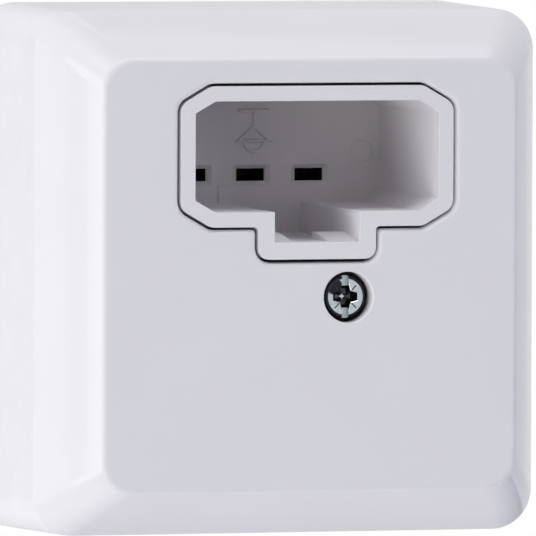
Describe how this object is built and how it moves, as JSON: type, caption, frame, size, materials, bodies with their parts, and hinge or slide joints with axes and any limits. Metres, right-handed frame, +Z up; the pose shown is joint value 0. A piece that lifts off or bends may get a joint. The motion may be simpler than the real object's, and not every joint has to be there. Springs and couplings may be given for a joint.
{
  "type": "lamp outlet",
  "caption": "Surface-mounted wall outlet for a luminaire plug: bevelled square cover, T-shaped recessed socket with flat contact slots, and an off-centre cover screw.",
  "frame": {"origin": "centre of the cover's outline, in the plane of the wall", "axes": "+Z up the wall as installed, +X to the right seen from the front, front faces -Y, wall face faces +Y"},
  "size_m": [0.0688, 0.0368, 0.0688],
  "materials": {
    "cover_plastic": "glossy front and border, finely textured side walls",
    "socket_plastic": "satin",
    "inner_plastic": "plain moulded",
    "zinc_steel": "blue zinc plated",
    "contact_brass": "plain",
    "entry_rubber": "matt"
  },
  "bodies": {
    "root": {"cover": "cover_plastic", "cover_screw": "zinc_steel", "cover_nut": "zinc_steel", "socket_housing": "socket_plastic", "rear_insulator": "inner_plastic", "contact_live": "contact_brass", "contact_neutral": "contact_brass", "contact_earth": "contact_brass", "terminal_live": "contact_brass", "terminal_neutral": "contact_brass", "terminal_earth": "contact_brass", "wire_plate_live": "zinc_steel", "wire_plate_neutral": "zinc_steel", "wire_plate_earth": "zinc_steel", "terminal_screws": "zinc_steel", "terminal_block": "inner_plastic", "fixing_screws": "zinc_steel", "base_plate": "inner_plastic", "cable_clamp": "inner_plastic", "clamp_screws": "zinc_steel", "cable_grommet": "entry_rubber"}
  },
  "joints": []
}
